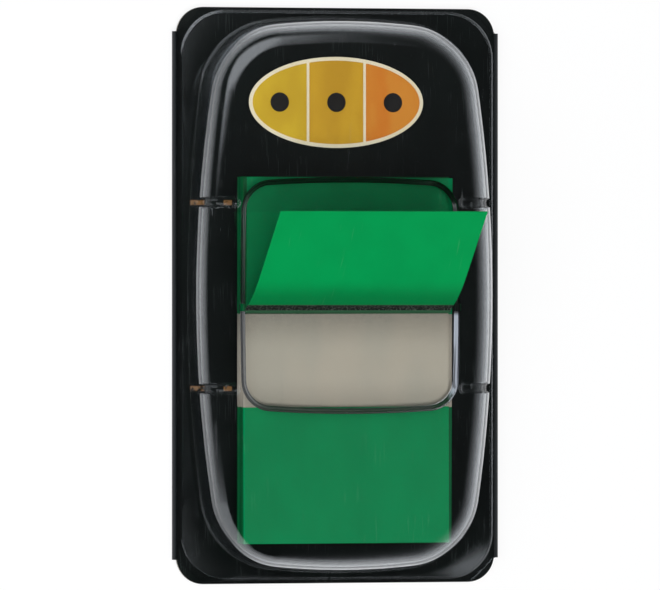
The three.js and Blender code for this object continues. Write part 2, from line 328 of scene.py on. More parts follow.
@dataclass(frozen=True)
class ClearSheet:
    """Thermoformed clear plastic: faint at a right angle, brighter and darker towards its edges."""

    name: str = "clear_sheet"
    reflection: float = 0.06
    grazing: float = 1.25
    grazing_power: float = 3.0
    edge: Range = (0.5, 0.8)
    edge_shade: float = 0.6
    sheen: float = 0.5
    gloss_roughness: float = 0.045
    body_roughness: float = 0.3
    tint: Colour = (0.93, 0.96, 1.0)
    clear: Colour = (0.985, 0.99, 0.992)
    dark: Colour = (0.012, 0.014, 0.015)
    ripples: Pattern = Pattern(7.0, 2.0)
    relief: float = 0.05
    relief_strength: float = 0.35
    scuffs: tuple[Scratches, Scratches] = (Scratches(0.28, 0.5, 0.665), Scratches(0.35, -0.9, 0.675))
    scuff_depth: float = 0.02
    scuff_haze: float = 0.2
    scuff_gloss: float = 0.03
    # pale: the colour of the painted highlight, drawn in long streaks on a wall that turns to the light
    pale: Colour = (0.34, 0.36, 0.42)
    painted_highlight_x: Range | None = None
    painted_highlight_y: Range = (-1.9, -2.5)
    streaks: Pattern = Pattern(0.3, 1.0, stretch=0.04)
    streak: Range = (0.4, 0.52)
    streak_share: float = 0.8

    def _inside(self, graph: Graph, x: Value, y: Value, where: Value) -> Any:
        """The body's colour, with long streaks of painted highlight where a wall turns to the light."""
        if self.painted_highlight_x is None:
            return self.dark
        # Painted highlight: pale streaks on the side of the window wall that turns to the light
        streak = self.streaks.on(graph, where).ramp(*self.streak) * self.streak_share
        turned = x.ramp(*self.painted_highlight_x) * y.ramp(*self.painted_highlight_y)
        return graph.mix(turned * (streak + (1.0 - self.streak_share)), self.dark, self.pale)

    def material(self) -> bpy.types.Material:
        """The plastic as a material: a gloss over a transparent body that darkens at a grazing view."""
        material, graph = new_material(self.name)
        x, y, _, where = graph.place()
        facing = graph.add("ShaderNodeLayerWeight")[1]
        scuff = crossed(graph, where, self.scuffs)
        relief = self.ripples.on(graph, where) + scuff * self.scuff_depth
        gloss = graph.add("ShaderNodeBsdfPrincipled", None, {
            "Base Color": self.tint, "Metallic": 1.0,
            "Roughness": scuff * self.scuff_haze + self.gloss_roughness,
            "Normal": graph.bump(relief, self.relief, self.relief_strength),
        })[0]
        body = graph.add("ShaderNodeBsdfPrincipled", None, {
            "Base Color": self._inside(graph, x, y, where), "Roughness": self.body_roughness,
            "Specular IOR Level": self.sheen,
        })[0]
        clear = graph.add("ShaderNodeBsdfTransparent", None, {"Color": self.clear})[0]
        through = graph.blend(facing.ramp(*self.edge) * self.edge_shade, clear, body)
        mirror = facing ** self.grazing_power * self.grazing + self.reflection + scuff * self.scuff_gloss
        graph.surface(graph.blend(mirror.least(1.0), through, gloss))
        return material


@dataclass(frozen=True)
class VarnishedCard:
    """Black printed card with a satin varnish, raw board at its cut edges and a plain pale back."""

    name: str = "varnished_card"
    ink: Colour = (0.0016, 0.0026, 0.0024)
    thin_ink: Colour = (0.0026, 0.0042, 0.0038)
    mark: Colour = (0.04, 0.045, 0.045)
    mark_share: float = 0.4
    board: Colour = (0.42, 0.4, 0.36)
    pale_board: Colour = (0.5, 0.48, 0.44)
    board_height: Range = (0.79, 0.69)
    rubbed: Colour = (0.2, 0.1, 0.035)
    rub_y: float = GROOVE_Y
    rub_width: Range = (0.36, 0.2)
    outer_rub_x: float = -17.15
    outer_rub: Range = (0.95, 0.75)
    inner_rub_x: float = -13.4
    inner_rub: Range = (0.6, 0.4)
    rub_breaks: Pattern = Pattern(0.55, 2.0)
    rub_break: Range = (0.36, 0.5)
    fibres: Pattern = Pattern(0.18, 4.0, 0.7, 0.3)
    clouds: Pattern = Pattern(11.0, 3.0)
    cloud: Range = (0.35, 0.7)
    specks: Pattern = Pattern(0.22, 1.0)
    speck: Range = (0.72, 0.78)
    scratches: tuple[Scratches, Scratches] = (Scratches(0.16, 0.25, 0.64), Scratches(0.2, -1.1, 0.65))
    roughness: float = 0.42
    scratch_roughness: float = 0.15
    fibre_roughness: float = 0.08
    board_roughness: float = 0.4
    specular: float = 0.14
    relief: float = 0.003
    relief_strength: float = 0.3

    def _rubs(self, graph: Graph, x: Value, y: Value, where: Value) -> Value:
        """Brown rub marks of raw board below the two left side grooves."""
        across = abs(abs(y) - self.rub_y).ramp(*self.rub_width)
        outer = abs(x - self.outer_rub_x).ramp(*self.outer_rub)
        inner = abs(x - self.inner_rub_x).ramp(*self.inner_rub)
        return across * outer.most(inner) * self.rub_breaks.on(graph, where).ramp(*self.rub_break)

    def material(self) -> bpy.types.Material:
        """The card as a material."""
        material, graph = new_material(self.name)
        x, y, z, where = graph.place()
        fibre = self.fibres.on(graph, where)
        scratch = crossed(graph, where, self.scratches)
        speck = self.specks.on(graph, where).ramp(*self.speck)
        bare = z.ramp(*self.board_height)
        inked = graph.mix(self.clouds.on(graph, where).ramp(*self.cloud), self.ink, self.thin_ink)
        inked = graph.mix(((scratch + speck) * self.mark_share).least(1.0), inked, self.mark)
        inked = graph.mix(self._rubs(graph, x, y, where), inked, self.rubbed)
        colour = graph.mix(bare, inked, graph.mix(fibre, self.board, self.pale_board))
        rough = scratch * self.scratch_roughness + fibre * self.fibre_roughness
        rough = rough + bare * self.board_roughness
        normal = graph.bump(fibre + scratch, self.relief, self.relief_strength)
        graph.surface(graph.satin(colour, (rough + self.roughness).least(1.0), self.specular, normal))
        return material


@dataclass(frozen=True)
class Mottled:
    """A dull finish, such as ink on card, of two close colours mixed by soft clouds and fine grains."""

    name: str
    colour: Colour
    shaded: Colour
    grains: Pattern = Pattern(0.2, 3.0, 0.6)
    clouds: Pattern = Pattern(3.2, 2.0, 0.5, 0.35, 0.4)
    cloud: Range = (0.34, 0.68)
    mottle: float = 0.25
    roughness: float = 0.38
    grain_roughness: float = 0.1
    specular: float = 0.3
    relief: float = 0.004
    relief_strength: float = 0.4

    def _over(self, graph: Graph, colour: Value, grain: Value, y: Value, where: Value) -> Value:
        """The colour with what lies on it, which is nothing here."""
        return colour

    def _shader(self, graph: Graph) -> Value:
        """The finish as a shader."""
        _, y, _, where = graph.place()
        grain = self.grains.on(graph, where)
        share = ((grain - 0.5) * self.mottle + self.clouds.on(graph, where)).ramp(*self.cloud)
        colour = self._over(graph, graph.mix(share, self.colour, self.shaded), grain, y, where)
        normal = graph.bump(grain, self.relief, self.relief_strength)
        return graph.satin(colour, grain * self.grain_roughness + self.roughness, self.specular, normal)

    def material(self) -> bpy.types.Material:
        """The finish as a material."""
        material, graph = new_material(self.name)
        graph.surface(self._shader(graph))
        return material


@dataclass(frozen=True)
class PaintedCreaseShade:
    """Painted shade at the top tab's bend in the slot: a speckled dark line of painted shadow, a dull strip
    of painted shade below it, and painted shade on the curl above it.
    """

    y: float = -1.45
    # Where the painted shade lies, in millimetres from the bend: the shadow line, the grey around it, the
    # strip below and the curl above
    line: Range = (0.36, 0.26)
    ground: Range = (0.36, 0.28)
    below: Range = (-0.2, -0.4)
    curl: Range = (3.4, 1.0)
    curl_shade_share: float = 0.4
    specks: Pattern = Pattern(0.17, 4.0, 0.7, 0.4, 0.3)
    speck: Range = (0.62, 0.5)
    speck_share: float = 0.75
    # Colours of the painted shadow line, of the painted shade around it and below it, and of the painted
    # shade on the curl
    dark: Colour = (0.006, 0.008, 0.007)
    painted_shade_grey: Colour = (0.09, 0.11, 0.09)
    dull: Colour = (0.045, 0.11, 0.06)
    dim: Colour = (0.0, 0.05, 0.015)

    def over(self, graph: Graph, colour: Value, y: Value, where: Value) -> Value:
        """The print's colour with the painted shade of the bend on it."""
        above = y - self.y
        speck = self.specks.on(graph, where).ramp(*self.speck) * self.speck_share
        # Painted shade below the bend and on the curl, then the grey and the speckled line of painted
        # shadow
        colour = graph.mix(above.ramp(*self.below), colour, self.dull)
        colour = graph.mix(above.ramp(*self.curl) * self.curl_shade_share, colour, self.dim)
        colour = graph.mix(abs(above).ramp(*self.ground), colour, self.painted_shade_grey)
        line = abs(above).ramp(*self.line) * (speck + (1.0 - self.speck_share))
        return graph.mix(line, colour, self.dark)


@dataclass(frozen=True)
class FilmPrint(Mottled):
    """Satin green print on film, with a fine mottle, faint rub lines and, on the top tab, painted shade at
    its bend in the slot.
    """

    grains: Pattern = Pattern(0.35, 4.0, 0.65)
    clouds: Pattern = Pattern(4.0, 3.0, stretch=0.5)
    cloud: Range = (0.3, 0.75)
    mottle: float = 0.5
    roughness: float = 0.42
    grain_roughness: float = 0.12
    specular: float = 0.06
    relief: float = 0.006
    rubs: Scratches = Scratches(0.3, 0.05, 0.63)
    rub_share: float = 0.05
    rubbed: Colour = (0.3, 0.5, 0.36)
    painted_crease_shade: PaintedCreaseShade | None = None

    def _over(self, graph: Graph, colour: Value, grain: Value, y: Value, where: Value) -> Value:
        """The colour with its rub lines and the painted shade at the bend."""
        colour = graph.mix(self.rubs.on(graph, where) * self.rub_share, colour, self.rubbed)
        return self.painted_crease_shade.over(graph, colour, y, where) if self.painted_crease_shade else colour


@dataclass(frozen=True)
class MattFilm(Mottled):
    """Matt translucent film, beige where many lie on each other, with painted shade near the slot and
    towards its end.
    """

    colour: Colour = (0.5, 0.44, 0.365)
    shaded: Colour = (0.455, 0.415, 0.35)
    # dim: the colour of the painted shade near the slot and towards the window's end
    dim: Colour = (0.012, 0.012, 0.01)
    clear: Colour = (0.94, 0.95, 0.94)
    cover: float = 1.0
    grains: Pattern = Pattern(0.3, 4.0, 0.7)
    clouds: Pattern = Pattern(5.0, 2.0, stretch=0.3)
    cloud: Range = (0.3, 0.7)
    mottle: float = 0.3
    roughness: float = 0.5
    specular: float = 0.15
    relief: float = 0.002
    relief_strength: float = 0.3
    # Where along Y the painted shade lies, and how strong it is
    slot_painted_shade: Range = (-7.0, -1.0)
    slot_painted_shade_share: float = 0.3
    end_painted_shade: Range = (-9.3, -15.0)
    end_painted_shade_share: float = 0.36

    def _over(self, graph: Graph, colour: Value, grain: Value, y: Value, where: Value) -> Value:
        """The colour, darkened by painted shade near the slot and towards the window's end."""
        slot = y.ramp(*self.slot_painted_shade) * (grain + 1.0) * self.slot_painted_shade_share
        return graph.mix(slot + y.ramp(*self.end_painted_shade) * self.end_painted_shade_share, colour, self.dim)

    def _shader(self, graph: Graph) -> Value:
        """The finish as a shader, see-through unless its cover is 1."""
        shader = super()._shader(graph)
        if self.cover == 1.0:
            return shader
        clear = graph.add("ShaderNodeBsdfTransparent", None, {"Color": self.clear})[0]
        return graph.blend(self.cover, clear, shader)


def arc(centre: Point, radius: float, start: float, end: float, steps: int) -> list[Point]:
    """Points along an arc, both ends included.

    Args:
        centre: the arc's centre.
        radius: its radius.
        start: its first angle, in radians.
        end: its last angle.
        steps: how many steps it takes.

    Returns:
        The points.
    """
    angles = [start + (end - start) * i / steps for i in range(steps + 1)]
    return [(centre[0] + radius * math.cos(a), centre[1] + radius * math.sin(a)) for a in angles]


def straight(start: Point, end: Point, steps: int) -> list[Point]:
    """Points along a line, both ends included."""
    return [tuple(a + (b - a) * i / steps for a, b in zip(start, end)) for i in range(steps + 1)]


def mirrored(quarter: Sequence[Point]) -> list[Point]:
    """A whole outline from its quarter between +X and +Y, whose end points lie on the axes or not.

    Args:
        quarter: the points of the quarter, anticlockwise.

    Returns:
        The closed outline, anticlockwise and without doubled points.
    """
    upper = list(quarter) + [(-x, y) for x, y in reversed(quarter)]
    whole = upper + [(x, -y) for x, y in reversed(upper)]
    return [p for i, p in enumerate(whole) if math.dist(p, whole[i - 1]) > SAME]


@dataclass(frozen=True)
class Barrel:
    """An outline with bowed sides, crowned ends and round corners, all tangent."""

    width: float
    length: float
    side_radius: float
    end_radius: float
    corner_radius: float

    def outline(self, inset: float = 0.0) -> list[Point]:
        """The outline, moved inwards by an inset."""
        side = Vector((self.width / 2 - self.side_radius, 0.0))
        end = Vector((0.0, self.length / 2 - self.end_radius))
        towards = (end - side).normalized()
        apart = (end - side).length
        side_reach = self.side_radius - self.corner_radius
        end_reach = self.end_radius - self.corner_radius
        along = (side_reach**2 - end_reach**2 + apart**2) / (2 * apart)
        aside = math.sqrt(side_reach**2 - along**2)
        corner = side + towards * along + Vector((-towards.y, towards.x)) * aside
        side_angle = math.atan2(corner.y, corner.x - side.x)
        end_angle = math.atan2(corner.y - end.y, corner.x)
        return mirrored([
            *arc(tuple(side), self.side_radius - inset, 0.0, side_angle, SIDE_STEPS),
            *arc(tuple(corner), self.corner_radius - inset, side_angle, end_angle, CORNER_STEPS),
            *arc(tuple(end), self.end_radius - inset, end_angle, math.pi / 2, END_STEPS),
        ])


def rounded_rectangle(width: float, height: float, radius: float) -> list[Point]:
    """The outline of a rectangle with round corners."""
    x, y = width / 2 - radius, height / 2 - radius
    return mirrored([
        *straight((width / 2, 0.0), (width / 2, y), SIDE_STEPS),
        *arc((x, y), radius, 0.0, math.pi / 2, CORNER_STEPS),
        *straight((x, height / 2), (0.0, height / 2), END_STEPS),
    ])


def ogee(start: float, run: float, rise: float, steps: int) -> list[Point]:
    """The levels of a soft step, each an inset from a start and a height."""
    shares = [i / steps for i in range(steps + 1)]
    return [(start + run * t, rise * (1 - math.cos(math.pi * t)) / 2) for t in shares]


def cut_rectangle(width: float, height: float, side: float, cut: float) -> list[Point]:
    """The outline of a rectangle with its corners cut off.

    Args:
        width: its width.
        height: its height.
        side: the length of its straight sides.
        cut: how far the cuts run in from the sides.

    Returns:
        The outline.
    """
    first, second = (width / 2, side / 2), (width / 2 - cut, height / 2)
    return mirrored([
        *straight((width / 2, 0.0), first, SIDE_STEPS),
        *straight(first, second, CORNER_STEPS),
        *straight(second, (0.0, height / 2), END_STEPS),
    ])


def of_kind(kind: type, geom: Sequence[Any]) -> list[Any]:
    """The elements of one kind out of what an operator made."""
    return [item for item in geom if isinstance(item, kind)]


def crosses(face: bmesh.types.BMFace, y: float, reach: float) -> bool:
    """Whether a face meets a strip along X, which reaches as far to both sides of its Y."""
    ys = [v.co.y for v in face.verts]
    return min(ys) < y + reach and max(ys) > y - reach


def placed(name: str, data: bpy.types.ID) -> bpy.types.Object:
    """Puts data into the scene as an object."""
    obj = bpy.data.objects.new(name, data)
    bpy.context.scene.collection.objects.link(obj)
    return obj


class Sheet:
    """A skin of thin material that is built up by operators, in millimetres."""

    def __init__(self) -> None:
        """Starts an empty mesh."""
        self.bm = bmesh.new()

    def face(self, outline: Sequence[Point], height: float) -> bmesh.types.BMFace:
        """Draws a closed outline at a height and fills it with one face that looks up.

        Args:
            outline: its points.
            height: its Z.

        Returns:
            The face.
        """
        verts = [self.bm.verts.new((x, y, height)) for x, y in outline]
        edges = [self.bm.edges.new((a, b)) for a, b in zip(verts, verts[1:] + verts[:1])]
        face = bmesh.ops.contextual_create(self.bm, geom=edges)["faces"][0]
        face.normal_update()
        if face.normal.z < 0:
            face.normal_flip()
        return face

    def reshape(self, face: bmesh.types.BMFace, outline: Sequence[Point], height: float) -> None:
        """Draws a face inwards to another outline, with a band of faces in between.

        Args:
            face: a face that looks up, with as many corners as the outline has points.
            outline: the new outline, anticlockwise from +X.
            height: its Z.
        """
        bmesh.ops.inset_region(
            self.bm, faces=[face], use_boundary=True, use_even_offset=True, thickness=SAME,
        )
        verts = [loop.vert for loop in face.loops]
        first = min(range(len(verts)), key=lambda i: (verts[i].co.xy - Vector(outline[0])).length)
        for vert, point in zip(verts[first:] + verts[:first], outline):
            vert.co = (*point, height)

    def climb(self, face: bmesh.types.BMFace, levels: Sequence[Point]) -> None:
        """Draws a face inwards and up through levels, each an inset and a height from the start."""
        inset, height = 0.0, 0.0
        for next_inset, next_height in levels:
            bmesh.ops.inset_region(
                self.bm, faces=[face], use_boundary=True, use_even_offset=True,
                thickness=next_inset - inset, depth=next_height - height,
            )
            inset, height = next_inset, next_height

    def mark(self, known: set[bmesh.types.BMFace], use: Enum) -> None:
        """Gives the faces that are not known yet the finish of their use."""
        for face in set(self.bm.faces) - known:
            face.material_index = use.value

    def cut(self, faces: Callable[[bmesh.types.BMFace], bool], point: Vector, normal: Vector) -> None:
        """Cuts the faces that a test picks along a plane."""
        picked = [f for f in self.bm.faces if faces(f)]
        edges = {e for f in picked for e in f.edges}
        verts = {v for f in picked for v in f.verts}
        bmesh.ops.bisect_plane(
            self.bm, geom=[*picked, *edges, *verts], dist=ON_PLANE, plane_co=point, plane_no=normal,
        )

    def drawn(self, edges: Sequence[bmesh.types.BMEdge], move: Vector) -> list[bmesh.types.BMEdge]:
        """Draws edges out by a move and returns the new ones."""
        new = bmesh.ops.extrude_edge_only(self.bm, edges=list(edges))["geom"]
        verts = of_kind(bmesh.types.BMVert, new)
        bmesh.ops.translate(self.bm, vec=move, verts=verts)
        return [e for e in of_kind(bmesh.types.BMEdge, new) if set(e.verts) <= set(verts)]

    def tidy(self) -> None:
        """Merges doubled points and turns the skin's faces up and outwards."""
        bmesh.ops.remove_doubles(self.bm, verts=self.bm.verts, dist=WELD)
        bmesh.ops.dissolve_degenerate(self.bm, edges=self.bm.edges, dist=SLIVER)
        bmesh.ops.recalc_face_normals(self.bm, faces=self.bm.faces)
        self.bm.normal_update()
        if sum(f.normal.z * f.calc_area() for f in self.bm.faces) < 0:
            bmesh.ops.reverse_faces(self.bm, faces=self.bm.faces)

    def piece(self, name: str, thickness: float = 0.0) -> bpy.types.Object:
        """Finishes the mesh as an object in metres.

        Args:
            name: the piece's name.
            thickness: how thick the skin becomes, inwards.

        Returns:
            The object, at the origin.
        """
        mesh = bpy.data.meshes.new(name)
        self.bm.to_mesh(mesh)
        self.bm.free()
        obj = placed(name, mesh)
        if thickness:
            wall = obj.modifiers.new("wall", "SOLIDIFY")
            wall.thickness = thickness
            wall.offset = -1.0
            wall.use_quality_normals = True
            graph = bpy.context.evaluated_depsgraph_get()
            obj.data = bpy.data.meshes.new_from_object(obj.evaluated_get(graph))
            obj.data.name = name
            obj.modifiers.clear()
        obj.data.transform(Matrix.Scale(MM, 4))
        obj.data.shade_smooth()
        obj.data.set_sharp_from_angle(angle=SHARP)
        return obj


class Part:
    """A sub-assembly of the dispenser."""

    @staticmethod
    def dress(obj: bpy.types.Object, materials: Sequence[bpy.types.Material], slot: str) -> None:
        """Gives a piece its finish and its place among the bodies.

        Args:
            obj: the new piece.
            materials: the finishes of its material slots.
            slot: the record's slot that it belongs to; not used.
        """
        for material in materials:
            obj.data.materials.append(material)
        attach(obj, "root")
        LOG.info("%s: %d faces", obj.name, len(obj.data.polygons))

    @staticmethod
    def span(node: str) -> tuple[Vector, Vector]:
        """A node's lowest and highest corner, in millimetres."""
        low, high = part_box(node)
        return low / MM, high / MM


class Zone(Enum):
    """A part of the cover with a finish of its own."""

    SHEET = 0
    WINDOW_WALL = 1
    FOLD = 2
    FOOT = 3


@dataclass
class ClearCover(Part):
    """The thermoformed cover: folded flange, raised panel, dome, window with its slot, and side grooves."""

    sheet: float = 0.35
    bend: float = 0.5
    fold_return: float = 5.0
    fold_taper: float = 2.5
    flange_chamfer: float = 2.9
    flange_setback: float = 0.15
    fold_play: float = 0.1
    panel_margin: float = 0.75
    panel_end_margin: float = 0.35
    panel_corner: float = 5.6
    panel_step: float = 0.12
    step_steps: int = 4
    rim: float = 0.06
    fold_end_margin: float = 2.9
    fold_steps: int = 8
    foot: float = 0.45
    foot_rim: float = 0.1
    foot_steps: int = 6
    draft: float = 0.2
    shoulder: float = 2.8
    shoulder_steps: int = 20
    top_rim: float = 0.12
    window_depth: float = 0.6
    window_run: float = 0.55
    window_rim: float = 0.1
    window_steps: int = 12
    slot_y: float = -1.4
    slot_width: float = 0.9
    slot_length: float = 27.3
    groove_y: float = GROOVE_Y
    groove_reach: float = 0.56
    groove_depth: float = 0.4
    groove_start: float = 14.15
    groove_wall: float = 3.0
    groove_lanes: int = 5
    groove_pitch: float = 0.12
    groove_cuts: int = 22
    groove_room: float = 1.0
    groove_fade: Range = (0.35, 0.75)
    dome: Barrel = Barrel(37.0, 65.4, 173.0, 87.0, 9.2)
    window: Barrel = Barrel(26.8, 27.7, 420.0, 147.0, 3.6)

    def __post_init__(self) -> None:
        """Works out the heights and the flange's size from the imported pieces."""
        _, card_high = self.span("backing_card")
        _, cover_high = self.span("clear_cover")
        self.flange_top = card_high.z + self.fold_play + self.sheet
        self.panel_top = self.flange_top + self.panel_step
        self.dome_top = cover_high.z
        self.half_width = cover_high.x
        self.half_height = card_high.y
        self.fold_end = card_high.y - self.fold_end_margin

    def _flange(self, sheet: Sheet) -> bmesh.types.BMFace:
        """Makes the flange and the panel's step.

        Args:
            sheet: the cover's skin.

        Returns:
            The face on top of the panel.
        """
        face = sheet.face(cut_rectangle(
            2 * (self.half_width - self.bend), 2 * (self.half_height - self.flange_setback),
            2 * self.fold_end, self.flange_chamfer), self.flange_top)
        side = self.half_width - self.panel_margin + self.rim
        end = self.half_height - self.panel_end_margin + self.rim
        corner = self.panel_corner + self.rim
        sheet.reshape(face, rounded_rectangle(2 * side, 2 * end, corner), self.flange_top)
        run = 2 * self.panel_step
        step = ogee(self.rim, run, self.panel_step, self.step_steps)
        sheet.climb(face, [*step, (run + 2 * self.rim, self.panel_step)])
        return face

    def _dome(self, sheet: Sheet, top: bmesh.types.BMFace) -> None:
        """Raises the dome from the panel.

        Args:
            sheet: the cover's skin.
            top: the face on top of the panel, which becomes the dome's flat top.
        """
        rim = self.foot_rim
        sheet.reshape(top, self.dome.outline(-self.foot - rim), self.panel_top)
        known = set(sheet.bm.faces)
        rise = self.dome_top - self.panel_top
        wall_end = self.draft + self.shoulder
        foot = arc((0.0, self.foot), self.foot, -math.pi / 2, 0.0, self.foot_steps)
        shoulder = arc(
            (wall_end, rise - self.shoulder), self.shoulder, math.pi, math.pi / 2, self.shoulder_steps,
        )
        foot = [(rim + x, z) for x, z in foot]
        shoulder = [(rim + self.foot + x, z) for x, z in shoulder]
        sheet.climb(top, [*foot, shoulder[0]])
        sheet.mark(known, Zone.FOOT)
        start = shoulder[0]
        last = (rim + self.foot + wall_end + self.top_rim, rise)
        sheet.climb(top, [(x - start[0], z - start[1]) for x, z in (*shoulder[1:], last)])

    def _window(self, sheet: Sheet, top: bmesh.types.BMFace) -> None:
        """Sinks the window into the dome's flat top."""
        sheet.reshape(top, self.window.outline(-self.window_rim), self.dome_top)
        known = set(sheet.bm.faces)
        sheet.climb(top, ogee(self.window_rim, self.window_run, -self.window_depth, self.window_steps))
        sheet.mark(known, Zone.WINDOW_WALL)
        sheet.climb(top, [(self.window_rim, 0.0)])

    def _grooves(self, sheet: Sheet) -> None:
        """Presses the four side grooves into the dome's shoulder and wall."""
        reach = self.groove_reach
        lanes = self.groove_lanes
        across = [reach * k / lanes for k in range(-lanes - 1, lanes + 2)]
        first = self.groove_start - reach * (lanes + 1) / lanes
        along = [first + self.groove_pitch * k for k in range(self.groove_cuts)]

        def beside(face: bmesh.types.BMFace) -> bool:
            """Whether a face is near a groove."""
            near = any(crosses(face, y, self.groove_room) for y in (-self.groove_y, self.groove_y))
            far = max(abs(v.co.x) for v in face.verts)
            return near and far > first and face.calc_center_median().z > self.panel_top + 2 * NEAR

        def beside_top(face: bmesh.types.BMFace) -> bool:
            """Whether a face near a groove is on the dome's flat top."""
            return beside(face) and face.calc_center_median().z > self.dome_top - NEAR

        for side in (-1, 1):
            for offset in across:
                sheet.cut(beside, Vector((0, side * self.groove_y + offset, 0)), Vector((0, 1, 0)))
            for x in along:
                sheet.cut(beside_top, Vector((side * x, 0, 0)), Vector((1, 0, 0)))
        sheet.bm.normal_update()
        moves = {}
        low, high = self.groove_fade
        for vert in sheet.bm.verts:
            x, y = abs(vert.co.x), abs(vert.co.y)
            apart = math.hypot(min(0.0, x - self.groove_start), y - self.groove_y)
            share = 1 - apart / reach
            if share > 0 and x > self.groove_start - reach:
                foot = min(1.0, max(0.0, (vert.co.z - self.panel_top - low) / (high - low)))
                pressed = (1 - (1 - share) ** 3) * min(1.0, share * self.groove_wall)
                moves[vert] = -vert.normal * self.groove_depth * pressed * foot
        for vert, move in moves.items():
            vert.co += move
        for face in sheet.bm.faces:
            if all(vert in moves for vert in face.verts):
                face.material_index = Zone.FOOT.value

    def _slot(self, sheet: Sheet) -> None:
        """Cuts the slot across the window."""
        half_length, half_width = self.slot_length / 2, self.slot_width / 2

        def above(face: bmesh.types.BMFace) -> bool:
            """Whether a face is in or beside the window, at the slot's height."""
            middle = face.calc_center_median()
            inside = crosses(face, self.slot_y, half_width)
            return inside and middle.z > self.dome_top - self.window_depth - NEAR

        for sign in (-1, 1):
            sheet.cut(above, Vector((0, self.slot_y + sign * half_width, 0)), Vector((0, 1, 0)))
            sheet.cut(above, Vector((sign * half_length, 0, 0)), Vector((1, 0, 0)))
        inside = [
            f for f in sheet.bm.faces
            if above(f) and abs(f.calc_center_median().x) < half_length
            and abs(f.calc_center_median().y - self.slot_y) < half_width
        ]
        bmesh.ops.delete(sheet.bm, geom=inside, context="FACES")

    def _folds(self, sheet: Sheet) -> None:
        """Folds the flange's two long edges round the card and back under it."""
        edge = self.half_width - self.bend
        for side in (-1, 1):
            corner = Vector((side * edge, self.flange_top))
            geom = [e for e in sheet.bm.edges if all((v.co.xz - corner).length < SAME for v in e.verts)]
            for centre in (self.flange_top - self.bend, self.bend):
                turned = bmesh.ops.spin(
                    sheet.bm, geom=geom, cent=(side * edge, 0, centre), axis=(0, 1, 0),
                    angle=side * math.pi / 2, steps=self.fold_steps, use_merge=False, use_duplicate=False,
                )["geom_last"]
                geom = of_kind(bmesh.types.BMEdge, turned)
                if centre > self.bend:
                    drop = Vector((0, 0, self.bend - centre))
                    geom = sheet.drawn(geom, drop)
            back = Vector((side * (self.bend - self.fold_return), 0, 0))
            geom = sheet.drawn(geom, back)
            for vert in {v for e in geom for v in e.verts}:
                vert.co.y *= 1 - self.fold_taper / self.fold_end
        for face in sheet.bm.faces:
            if abs(face.calc_center_median().x) > edge:
                face.material_index = Zone.FOLD.value

    def build(self, *plastics: bpy.types.Material) -> None:
        """Makes the whole cover as one piece, in the finishes of its zones."""
        sheet = Sheet()
        top = self._flange(sheet)
        self._dome(sheet, top)
        self._window(sheet, top)
        self._grooves(sheet)
        self._slot(sheet)
        self._folds(sheet)
        sheet.tidy()
        cover = sheet.piece("formed_cover", self.sheet)
        self.dress(cover, plastics, "clear_plastic")
        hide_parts("clear_cover")


@dataclass
class BackingCard(Part):
    """The die-cut card, with softly pressed edges."""

    corner: float = 3.3
    burr: float = 0.05

    def build(self, card: bpy.types.Material) -> None:
        """Makes the card."""
        low, high = self.span("backing_card")
        sheet = Sheet()
        face = sheet.face(rounded_rectangle(high.x - low.x, high.y - low.y, self.corner), low.z)
        grown = bmesh.ops.extrude_face_region(sheet.bm, geom=[face])["geom"]
        lifted = of_kind(bmesh.types.BMVert, grown)
        bmesh.ops.translate(sheet.bm, vec=(0, 0, high.z - low.z), verts=lifted)
        face.normal_flip()
        bmesh.ops.recalc_face_normals(sheet.bm, faces=sheet.bm.faces)
        rims = [e for e in sheet.bm.edges if abs(e.verts[0].co.z - e.verts[1].co.z) < SAME]
        bmesh.ops.bevel(
            sheet.bm, geom=rims, affect="EDGES", offset=self.burr, segments=2, profile=0.5, material=-1,
        )
        bmesh.ops.recalc_face_normals(sheet.bm, faces=sheet.bm.faces)
        piece = sheet.piece("card_board")
        self.dress(piece, [card], "black_card")
        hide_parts("backing_card")


class End(Enum):
    """The end of a flat tab that is printed green."""

    TOP = 1
    BOTTOM = -1


class Edge(Enum):
    """What an edge of a lower tab shows: print or the clear end by it, both in darker greens of painted
    shade, or bare film.
    """

    PRINTED = 0
    CLEAR = 1
    BARE = 2


@dataclass
class Tabs(Part):
    """Pieces that are made of tabs, with a tab's size."""

    width: float = 25.4
    length: float = 43.2
    print_length: float = 16.1


